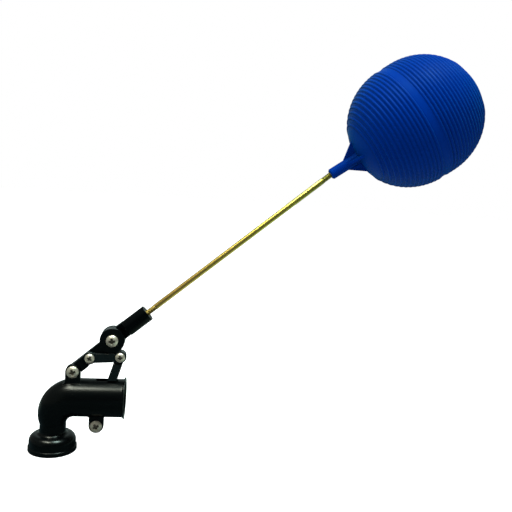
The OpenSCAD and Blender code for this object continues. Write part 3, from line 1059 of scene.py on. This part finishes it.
@dataclass
class Linkage(SubAssembly):
    """Lever, link and rocker, thick mouldings with softened edges."""

    voxel: float = 0.22
    sharp: int = 1
    soft: int = 10
    keep: float = 0.5
    eye_web: Web = Web(
        outline=((49.65, 103.0), (60.6, 103.0), (62.0, 104.8), (62.0, 107.5), (54.0, 108.5)),
        span=(-3.5, -0.15),
    )

    def build(self) -> None:
        """Builds the three mouldings; the link and the rocker are rounder than the lever."""
        front = -(self.layout.plate_y + self.layout.link_y) / 2
        for node, name, passes, body, finish, web in (
            ("lever", "lever_moulding", self.sharp, Body.LEVER, BLACK_PLASTIC, self.eye_web),
            ("rocker", "rocker_moulding", self.soft, Body.ROCKER, BLACK_PLATE_PAINTED_LIGHT, None),
            ("front_link", "link_moulding", self.soft, Body.LINK, BLACK_PLATE_PAINTED_LIGHT, None),
        ):
            piece = moulded_copy(node, name, self.voxel, passes, self.keep, front, web)
            self.dress(piece, body, finish, node)


@dataclass
class RodHolder(SubAssembly):
    """Eye and neck behind the lever's eye, a round socket, and the brass insert in its mouth."""

    voxel: float = 0.26
    passes: int = 3
    keep: float = 0.5
    insert_len: float = 20.0
    insert_r: float = 5.0
    chamfer: float = 0.5
    sides: int = 56

    def build(self) -> None:
        """Builds the holder and its insert."""
        holder = moulded_copy("rod_holder", "lapped_holder", self.voxel, self.passes, self.keep)
        self.dress(holder, Body.ARM, BLACK_SOCKET, "rod_holder")
        place = self.layout.arm()
        start, end, c = self.layout.socket_end - self.insert_len, self.layout.socket_end, self.chamfer
        inner, outer = self.layout.rod_r + self.layout.pin_gap, self.insert_r
        rings = [(start, inner), (start, outer - c), (start + c, outer), (end - c, outer)]
        rings += [(end, outer - c), (end, inner + c), (end - c, inner)]
        insert = smooth(turned_piece("brass_insert", rings, self.sides, place, closed=True))
        mark_axis(insert, place)
        self.dress(insert, Body.ARM, BRASS, "holder_insert")


@dataclass
class ThreadedRod(SubAssembly):
    """Yellow plated rod with a rolled thread at each end."""

    shown_thread: float = 11.0
    pitch: float = 1.0
    depth: float = 0.5
    fade: float = 2.2
    rings_per_pitch: int = 8
    tip: float = 0.6
    sides: int = 40
    plain_rings: int = 12
    sharp_angle: float = 50.0
    thread_film: float = 0.68
    root_darkness: float = 0.75

    def build(self) -> None:
        """Builds the rod."""
        place, r, grip = self.layout.arm(), self.layout.rod_r, self.layout.rod_grip
        start = self.layout.socket_end - grip
        end = self.layout.socket_end + self.layout.rod_free + grip
        zone = grip + self.shown_thread
        step = self.pitch / self.rings_per_pitch
        count = int(zone / step)
        xs = [start + i * step for i in range(count + 1)]
        length = end - start - 2 * zone
        xs += [start + zone + length * i / self.plain_rings for i in range(1, self.plain_rings)]
        xs += [end - zone + i * step for i in range(count + 1)]

        def swell(x: float, r: float, turn: float) -> float:
            """Returns the thread's radius; see turned."""
            inside = min(x - start, end - x)
            share = min(1.0, max(0.0, (zone - inside) / self.fade))
            wave = 0.5 - 0.5 * math.cos(2 * math.pi * x / self.pitch - turn)
            tip = max(0.0, 1.0 - inside / self.tip) * self.depth
            return min(r - self.depth * share * wave, r - tip)

        rings = [(start, 0.0)] + [(x, r) for x in xs] + [(end, 0.0)]
        rod = smooth(turned_piece("plated_rod", rings, self.sides, place, swell=swell), self.sharp_angle)
        mark_axis(rod, place)

        def darkness(point: Vector) -> float:
            """Returns how dark the threads are made: a film over them, darkest in their roots."""
            deep = (r - math.hypot(point.y, point.z)) / self.depth
            film = self.thread_film if min(point.x - start, end - point.x) < zone else 0.0
            return max(film, self.root_darkness * min(1.0, deep))

        # darker threads, most in their roots
        mark_darkening(rod, place, darkness)
        self.dress(rod, Body.ARM, ROD_ZINC, "float_rod")


@dataclass
class BallFloat(SubAssembly):
    """Ribbed ball in two halves; the rod's half has a boss held by four fins."""

    float_r: float = 63.5
    rib_h: float = 0.8
    rib_r: float = 1.5
    rib_pitch: float = 3.85
    band_half: float = 5.35
    rod_ribs: int = 14
    far_ribs: int = 16
    rod_skirt: float = 1.4
    far_skirt: float = 12.1
    wall: float = 2.4
    boss_r: float = 5.65
    boss_len: float = 32.8
    boss_bevel: float = 1.3
    boss_plain: float = 18.0
    fin_reach: float = 18.0
    fin_t: float = 3.0
    fin_edge: float = 0.35
    fin_sink: float = 0.4
    fin_root: float = 1.2
    fin_core: float = 2.0
    foot_gap: float = 0.3
    hole_lead: float = 3.0
    hole_past: float = 1.0
    hole_sides: int = 48
    sides: int = 200
    rib_chords: int = 8
    cap_steps: int = 14
    hollow_steps: int = 24
    sharp_angle: float = 38.0

    @property
    def shell_r(self) -> float:
        """Radius of the ball between its ribs."""
        return self.float_r - self.rib_h

    @property
    def rod_center(self) -> float:
        """Distance of the rod half's dome centre from the boss's mouth."""
        return self.boss_len + self.shell_r

    @property
    def joint(self) -> float:
        """Distance of the halves' joint from the boss's mouth."""
        return self.rod_center + self.rod_skirt

    @property
    def far_center(self) -> float:
        """Distance of the far half's dome centre from the boss's mouth."""
        return self.joint + self.far_skirt

    def build(self) -> None:
        """Builds both halves."""
        place = self.layout.ball()
        rod_half = self.half("float_boss_half", -1, place)
        far_half = self.half("float_plain_half", 1, place)
        fins = [self.fin(turn, place) for turn in (0.0, math.pi / 2)]
        combine(rod_half, fins, "UNION")
        combine(rod_half, [self.rod_hole(place)], "DIFFERENCE")
        for piece, node in ((rod_half, "float_rod_half"), (far_half, "float_far_half")):
            smooth(piece, self.sharp_angle)
            self.dress(piece, Body.ARM, FLOAT_PLASTIC, node)

    def skin(self, side: int, center: float, count: int) -> Loop:
        """Outside of a half, from its joint to its last rib and on to its pole.

        Args:
            side: -1 for the rod's half, 1 for the far one.
            center: distance of the dome's centre.
            count: number of ribs.

        Returns:
            Distances along the axis and radii.
        """
        shell, ring = self.shell_r, self.float_r - self.rib_r
        half = math.acos((ring**2 + shell**2 - self.rib_r**2) / (2 * ring * shell))
        skirt = abs(center - self.joint)
        points: Loop = [(self.joint, shell)]
        last = 0.0
        for i in range(count):
            past = self.band_half + i * self.rib_pitch - skirt
            lean = math.asin(max(past, 0.0) / self.float_r)
            flat = min(past, 0.0)
            if past > 0.0:
                gap = (last + lean - half) / 2
                points.append(self.on_dome(side, center, shell, gap))
            for k in range(self.rib_chords + 1):
                turn = half * math.sin(math.pi / 2 * (2 * k / self.rib_chords - 1))
                aside = ring * math.sin(turn)
                reach = ring * math.cos(turn) + math.sqrt(max(self.rib_r**2 - aside**2, 0.0))
                if past > 0.0:
                    points.append(self.on_dome(side, center, reach, lean + turn))
                else:
                    points.append((center + side * (flat + reach * math.sin(turn)), reach * math.cos(turn)))
            last = lean + half
        for i in range(1, self.cap_steps + 1):
            lean = last + (math.pi / 2 - last) * i / self.cap_steps
            points.append(self.on_dome(side, center, shell, lean))
        points[-1] = (points[-1][0], 0.0)
        return points

    @staticmethod
    def on_dome(side: int, center: float, reach: float, lean: float) -> Point2:
        """Point of a dome at a distance from its centre and an angle from its joint."""
        return center + side * reach * math.sin(lean), reach * math.cos(lean)

    def half(self, name: str, side: int, place: Matrix) -> Piece:
        """Turns one half, with its hollow.

        Args:
            name: the piece's name.
            side: -1 for the rod's half, 1 for the far one.
            place: the float's axis.

        Returns:
            The half's object.
        """
        center, count = (self.rod_center, self.rod_ribs) if side < 0 else (self.far_center, self.far_ribs)
        outer = self.skin(side, center, count)
        if side < 0:
            foot = center - math.sqrt(self.shell_r**2 - self.boss_r**2)
            outer = [p for p in outer if p[1] > self.boss_r + self.foot_gap]
            b = self.boss_bevel
            outer += [(foot, self.boss_r), (self.boss_plain, self.boss_r), (b, self.boss_r)]
            outer += [(0.0, self.boss_r - b), (0.0, 0.0)]
        hollow = self.shell_r - self.wall
        inner = [(center + side * hollow, 0.0)]
        for i in range(1, self.hollow_steps + 1):
            inner.append(self.on_dome(side, center, hollow, math.pi / 2 * (1 - i / self.hollow_steps)))
        inner.append((self.joint, hollow))
        bm = bmesh.new()
        turned(bm, outer, self.sides)
        turned(bm, inner, self.sides)
        rims = [e for e in bm.edges if e.is_boundary]
        bmesh.ops.bridge_loops(bm, edges=rims)
        return mesh_piece(name, bm, place)

    def fin(self, turn: float, place: Matrix) -> Piece:
        """Makes a plate that gives two of the fins.

        Args:
            turn: the plate's turn about the float's axis.
            place: the float's axis.

        Returns:
            The plate's object.
        """
        foot = self.rod_center - math.sqrt(self.shell_r**2 - self.fin_reach**2)
        side = [
            (self.boss_plain, self.boss_r - self.fin_sink),
            (foot, self.fin_reach),
            (foot + self.fin_root, self.fin_reach),
            (self.boss_len + self.fin_root, self.fin_core),
        ]
        loop = side + [(x, -r) for x, r in reversed(side)]
        made = plate("fin", loop, (-self.fin_t / 2, self.fin_t / 2), self.fin_edge)
        metres = Matrix.Scale(MM, 4)
        made.data.transform(metres @ place @ Matrix.Rotation(turn, 4, "X") @ metres.inverted())
        return made

    def rod_hole(self, place: Matrix) -> Piece:
        """Makes the solid that cuts the rod's hole into the boss.

        Args:
            place: the float's axis.

        Returns:
            The cutter.
        """
        start, end = -self.hole_lead, self.layout.rod_grip + self.hole_past
        r = self.layout.rod_r + self.layout.pin_gap
        lean = Matrix.Rotation(-math.radians(self.layout.float_lean), 4, "Y")
        rings = [(start, 0.0), (start, r), (end, r), (end, 0.0)]
        return turned_piece("rod_hole", rings, self.hole_sides, place @ lean)


@dataclass(frozen=True)
class ScrewSize:
    """Sizes of one kind of screw and its nut."""

    r: float
    pitch: float
    head_r: float
    head_h: float
    nut_half: float
    nut_h: float


@dataclass(frozen=True)
class ScrewPlace:
    """One screw with its nut."""

    name: str
    pin: Point2
    front: float
    back: float
    size: ScrewSize
    body: Body
    turn: float


M6 = ScrewSize(r=3.0, pitch=1.0, head_r=6.1, head_h=4.2, nut_half=5.0, nut_h=5.0)
M5 = ScrewSize(r=2.5, pitch=0.8, head_r=4.9, head_h=3.5, nut_half=4.0, nut_h=4.0)


@dataclass
class Screws(SubAssembly):
    """Cross-recess pan screws and their nuts."""

    edge_share: float = 0.4
    edge_round: float = 0.5
    past_nut: float = 1.5
    recess_share: float = 0.64
    wing_share: float = 0.22
    depth_share: float = 0.75
    floor_share: float = 0.62
    wing_taper: float = 0.25
    cut_past: float = 0.2
    thread_depth: float = 0.45
    thread_run: float = 0.5
    run_out: float = 0.4
    rings_per_pitch: int = 8
    bevel: float = 0.3
    neck: float = 0.1
    tip_gap: float = 0.1
    seat_gap: float = 0.1
    rim_drop: float = 0.35
    crown_steps: int = 10
    darkness_depth: float = 0.12
    darkness_reach: float = 1.05
    corner_rise: float = 0.55
    corner_bite: float = 0.15
    corner_skin: float = 0.02
    hole_sink: float = 0.45
    hex_sides: int = 6
    nut_angle: float = 25.0
    sides: int = 64

    def build(self) -> None:
        """Builds each screw and its nut."""
        at = self.layout
        places = (
            ScrewPlace("lever_pivot", at.lever_pin, at.ear_y, at.plate_y, M6, Body.HOUSING, 18.0),
            ScrewPlace("rocker_pivot", at.rocker_pin, at.ear_y, at.plate_y, M6, Body.HOUSING, 27.0),
            ScrewPlace("hub", at.hub_pin, at.link_y, at.hub_back, M6, Body.LEVER, 4.0),
            ScrewPlace("lever_link", at.link_pin, at.link_y, at.plate_y, M5, Body.LINK, 62.0),
            ScrewPlace("rocker_link", at.rocker_top, at.link_y, at.plate_y, M5, Body.LINK, 10.0),
        )
        for place in places:
            self.screw(place)
            self.nut(place)

    def crown(self, size: ScrewSize) -> Point2:
        """Returns the crown's radius and the distance of its centre from the head's seat."""
        rise = size.head_h * (1 - self.edge_share)
        r = (size.head_r**2 + rise**2) / (2 * rise)
        return r, size.head_h - r

    def screw(self, place: ScrewPlace) -> None:
        """Builds one screw.

        Args:
            place: which screw it is.
        """
        size = place.size
        axes = self.layout.screw(place.pin, -place.front)
        grip = place.front + place.back
        tip = -(grip + size.nut_h + self.past_nut)
        thread_end = self.thread_run - grip
        crown_r, crown_x = self.crown(size)
        edge = math.asin((size.head_r - self.edge_round) / crown_r)
        rings: Loop = [(tip, 0.0), (tip, size.r - self.thread_depth)]
        step = size.pitch / self.rings_per_pitch
        count = int((thread_end - tip - self.bevel) / step)
        rings += [(tip + self.bevel + i * step, size.r) for i in range(count)]
        rings += [(thread_end + self.run_out, size.r), (-self.neck, size.r), (0.0, size.r + self.neck)]
        rings += [(0.0, size.head_r - self.bevel), (self.bevel, size.head_r)]
        rings.append((size.head_h * self.edge_share - self.rim_drop, size.head_r))
        leans = [edge * (1 - i / self.crown_steps) for i in range(self.crown_steps)]
        rings += [(crown_x + crown_r * math.cos(t), crown_r * math.sin(t)) for t in leans]
        rings.append((size.head_h, 0.0))

        def swell(x: float, r: float, turn: float) -> float:
            """Returns the thread's radius; see turned."""
            if not tip + self.tip_gap < x < thread_end + self.run_out / 2:
                return r
            wave = 0.5 - 0.5 * math.cos(2 * math.pi * x / size.pitch - turn)
            return r - self.thread_depth * wave

        made = turned_piece(place.name + "_pan_screw", rings, self.sides, axes, swell=swell)
        spin = Matrix.Rotation(math.radians(place.turn), 4, "X")
        wings = [self.wing(size, axes @ spin @ Matrix.Rotation(t, 4, "X")) for t in (0.0, math.pi / 2)]
        combine(made, wings, "DIFFERENCE")
        smooth(made)
        mark_axis(made, axes)

        def darkness(point: Vector) -> float:
            """Returns the darkening in the recess: painted shade, with some dirt."""
            r = math.hypot(point.y, point.z)
            if point.x < self.seat_gap or r > size.head_r * self.recess_share * self.darkness_reach:
                return 0.0
            top = crown_x + math.sqrt(crown_r**2 - r**2)
            return min(1.0, max(0.0, (top - point.x) / self.darkness_depth))

        # the cross recess is darkened: painted shade, with some dirt that also roughens it
        mark_darkening(made, axes, darkness)
        self.dress(made, place.body, SCREW_STEEL, place.name + "_screw")

    def wing(self, size: ScrewSize, place: Matrix) -> Piece:
        """Makes a cutter for one bar of the cross, narrower at its floor.

        Args:
            size: the screw's sizes.
            place: the cutter's axes.

        Returns:
            The cutter.
        """
        bm = bmesh.new()
        top, floor = size.head_h + self.cut_past, size.head_h * (1 - self.depth_share)
        corners = ((-1, -1), (1, -1), (1, 1), (-1, 1))
        rows = []
        for x, share in ((floor, self.floor_share), (top, 1.0)):
            half_len = size.head_r * self.recess_share * share
            half_w = size.head_r * self.wing_share * (1 - self.wing_taper + self.wing_taper * share)
            rows.append([bm.verts.new((x, a * half_len, b * half_w)) for a, b in corners])
        bm.faces.new(rows[0])
        bm.faces.new(rows[1])
        for k in range(len(corners)):
            n = (k + 1) % len(corners)
            bm.faces.new((rows[0][k], rows[0][n], rows[1][n], rows[1][k]))
        return mesh_piece("wing", bm, place)

    def nut(self, place: ScrewPlace) -> None:
        """Builds one nut, a hexagon with turned corners.

        Args:
            place: which screw it belongs to.
        """
        size = place.size
        axes = self.layout.screw(place.pin, place.back)
        far, past = -size.nut_h, self.cut_past
        corner = size.nut_half / math.cos(math.pi / self.hex_sides)
        prism = [(0.0, 0.0), (0.0, corner), (far, corner), (far, 0.0)]
        made = turned_piece(place.name + "_hex_nut", prism, self.hex_sides, axes)
        turn_r, rise, bite = corner + self.corner_skin, self.corner_rise, size.nut_half - self.corner_bite
        rings = [(past, 0.0), (past, bite), (0.0, bite), (-rise, turn_r), (far + rise, turn_r)]
        rings += [(far, bite), (far - past, bite), (far - past, 0.0)]
        combine(made, [turned_piece("corners", rings, self.sides, axes)], "INTERSECT")
        hole, sink, past = size.r + self.layout.pin_gap, self.hole_sink, self.bevel
        mouth = hole + sink + past
        rings = [(past, 0.0), (past, mouth), (-sink, hole), (far + sink, hole)]
        rings += [(far - past, mouth), (far - past, 0.0)]
        combine(made, [turned_piece("hole", rings, self.sides, axes)], "DIFFERENCE")
        smooth(made, self.nut_angle)
        mark_axis(made, axes)
        self.dress(made, place.body, SCREW_STEEL, place.name + "_nut")


# Studio


@dataclass(frozen=True)
class Softbox:
    """One area lamp."""

    name: str
    place: Point3
    aim: Point3
    size: Point2
    power: float
    color: Color


@dataclass
class Studio:
    """Pale floor, soft lamps, backdrop and the photograph's camera."""

    image_px: float = 512.0
    focal_px: float = 667.7
    sensor: float = 36.0
    eye: Point3 = (118.6, -675.9, 294.5)
    azimuth: float = -6.75
    elevation: float = 7.09
    roll: float = 3.63
    floor_r: float = 6.0
    floor_z: float = -0.0002
    floor_sides: int = 96
    paper: float = 0.40
    glow_reach: Point2 = (0.25, 0.8)
    glow_near: float = 0.82
    clip: Point2 = (0.01, 50.0)
    ambient: float = 1.03
    front_sky: float = 0.012
    back_sky: Color = (0.40, 0.50, 0.48)
    back_way: Point2 = (0.55, 0.97)
    left_sky: Color = (0.15, 0.16, 0.15)
    left_way: Point2 = (-0.65, -0.35)
    bounce: float = 0.45
    mirrored_floor: Color = (0.018, 0.030, 0.034)
    mirrored_back: Color = (0.24, 0.30, 0.26)
    back_strip: Point2 = (0.03, 0.15)
    back_share: float = 0.4
    rod_strip_x: Point2 = (0.12, 0.22)
    rod_strip_y: Point2 = (-0.2, -0.08)
    strip_reach: Point2 = (0.5, 0.7)
    softboxes: Sequence[Softbox] = (
        Softbox("top_box", (-0.45, -0.42, 1.75), (0.05, 0.0, 0.1), (0.8, 0.42), 29.0, (1.0, 0.98, 0.88)),
        Softbox("float_box", (0.50, -0.30, 1.70), (0.36, 0.0, 0.36), (0.6, 0.6), 43.0, (0.80, 1.0, 0.99)),
    )

    def build(self) -> None:
        """Builds the studio."""
        bpy.context.scene.view_settings.view_transform = "Standard"
        self.floor()
        self.backdrop()
        for box in self.softboxes:
            self.lamp(box)
        self.camera()

    def floor(self) -> None:
        """Builds the floor.

        It is white to the camera but for the part's soft shadow. Mirrors see it dark, with a paler strip
        behind the valve and another beside it, under the rod.
        """
        bm = bmesh.new()
        bmesh.ops.create_circle(bm, cap_ends=True, segments=self.floor_sides, radius=self.floor_r)
        mesh = bpy.data.meshes.new("floor")
        bm.to_mesh(mesh)
        bm.free()
        made = bpy.data.objects.new("floor", mesh)
        made.location.z = self.floor_z
        bpy.context.scene.collection.objects.link(made)
        paper = bpy.data.materials.new("white_paper")
        paper.use_nodes = True
        graph = Graph(paper.node_tree)
        graph.tree.nodes.clear()
        place = graph.node("NewGeometry").outputs["Position"]
        reach = graph.node("VectorMath", {0: place}, operation="LENGTH").outputs["Value"]
        near = graph.span(reach, *self.glow_reach, self.glow_near, 1.0)
        glow = graph.node("Emission", {"Color": (1.0, 1.0, 1.0), "Strength": near})
        seen = graph.node("BsdfDiffuse", {"Color": (self.paper,) * 3})
        shown = graph.node("AddShader", {0: glow.outputs[0], 1: seen.outputs[0]})
        rays = graph.node("LightPath").outputs
        at = graph.node("SeparateXYZ", {0: place}).outputs
        behind = graph.span(at["Y"], *self.back_strip, 0.0, self.back_share)
        beside = graph.span(at["X"], *self.rod_strip_x)
        beside = graph.math("MULTIPLY", beside, graph.span(at["Y"], *self.rod_strip_y))
        pale = graph.math("MAXIMUM", behind, beside)
        pale = graph.math("MULTIPLY", pale, graph.span(reach, *self.strip_reach, 1.0, 0.0))
        mirrored = graph.mix(pale, self.mirrored_floor, self.mirrored_back)
        tone = graph.mix(rays["Is Glossy Ray"], (self.bounce,) * 3, mirrored)
        lit = graph.node("BsdfDiffuse", {"Color": tone})
        factor = graph.math("MAXIMUM", rays["Is Camera Ray"], rays["Is Transmission Ray"])
        both = graph.node("MixShader", {0: factor, 1: lit.outputs[0], 2: shown.outputs[0]})
        graph.node("OutputMaterial", {"Surface": both.outputs[0]})
        made.data.materials.append(paper)

    def backdrop(self) -> None:
        """Sets a world, white to the camera; mirrors see it bright behind and dim or dark elsewhere."""
        world = bpy.data.worlds.new("studio_world")
        bpy.context.scene.world = world
        world.use_nodes = True
        graph = Graph(world.node_tree)
        graph.tree.nodes.clear()
        way = graph.node("SeparateXYZ", {0: graph.node("TexCoord").outputs["Generated"]}).outputs
        mirrored = graph.mix(graph.span(way["Y"], *self.back_way), (self.front_sky,) * 3, self.back_sky)
        mirrored = graph.mix(graph.span(way["X"], *self.left_way, 1.0, 0.0), mirrored, self.left_sky)
        rays = graph.node("LightPath").outputs
        dim = graph.mix(rays["Is Glossy Ray"], (self.ambient,) * 3, mirrored)
        color = graph.mix(rays["Is Camera Ray"], dim, (1.0, 1.0, 1.0))
        sky = graph.node("Background", {"Color": color, "Strength": 1.0})
        graph.node("OutputWorld", {"Surface": sky.outputs[0]})

    def lamp(self, box: Softbox) -> None:
        """Hangs one softbox.

        Args:
            box: its place, size and light.
        """
        light = bpy.data.lights.new(box.name, "AREA")
        light.shape = "RECTANGLE"
        light.size, light.size_y = box.size
        light.energy = box.power
        light.color = box.color
        made = bpy.data.objects.new(box.name, light)
        made.location = box.place
        way = Vector(box.aim) - Vector(box.place)
        made.rotation_euler = way.to_track_quat("-Z", "Y").to_euler()
        bpy.context.scene.collection.objects.link(made)

    def camera(self) -> None:
        """Puts the camera where the photograph was taken from."""
        a, e, r = (math.radians(v) for v in (self.azimuth, self.elevation, self.roll))
        back = Vector((math.sin(a) * math.cos(e), -math.cos(a) * math.cos(e), math.sin(e)))
        right = Vector((math.cos(a), math.sin(a), 0.0))
        up = back.cross(right)
        turned_right = right * math.cos(r) + up * math.sin(r)
        turned_up = up * math.cos(r) - right * math.sin(r)
        lens = bpy.data.cameras.new("camera")
        lens.sensor_width = self.sensor
        lens.lens = self.focal_px / self.image_px * self.sensor
        lens.clip_start, lens.clip_end = self.clip
        made = bpy.data.objects.new("camera", lens)
        axes = Matrix((turned_right, turned_up, back)).transposed().to_4x4()
        made.matrix_world = Matrix.Translation(Vector(self.eye) * MM) @ axes
        bpy.context.scene.collection.objects.link(made)
        bpy.context.scene.camera = made


def main() -> None:
    """Builds the studio and the sub-assemblies in order."""
    logging.basicConfig(level=logging.INFO, format="%(name)s: %(message)s")
    Studio().build()
    for assembly in (ValveElbow(), Plunger(), Linkage(), RodHolder(), ThreadedRod(), BallFloat(), Screws()):
        assembly.build()


if __name__ == "__main__":
    main()
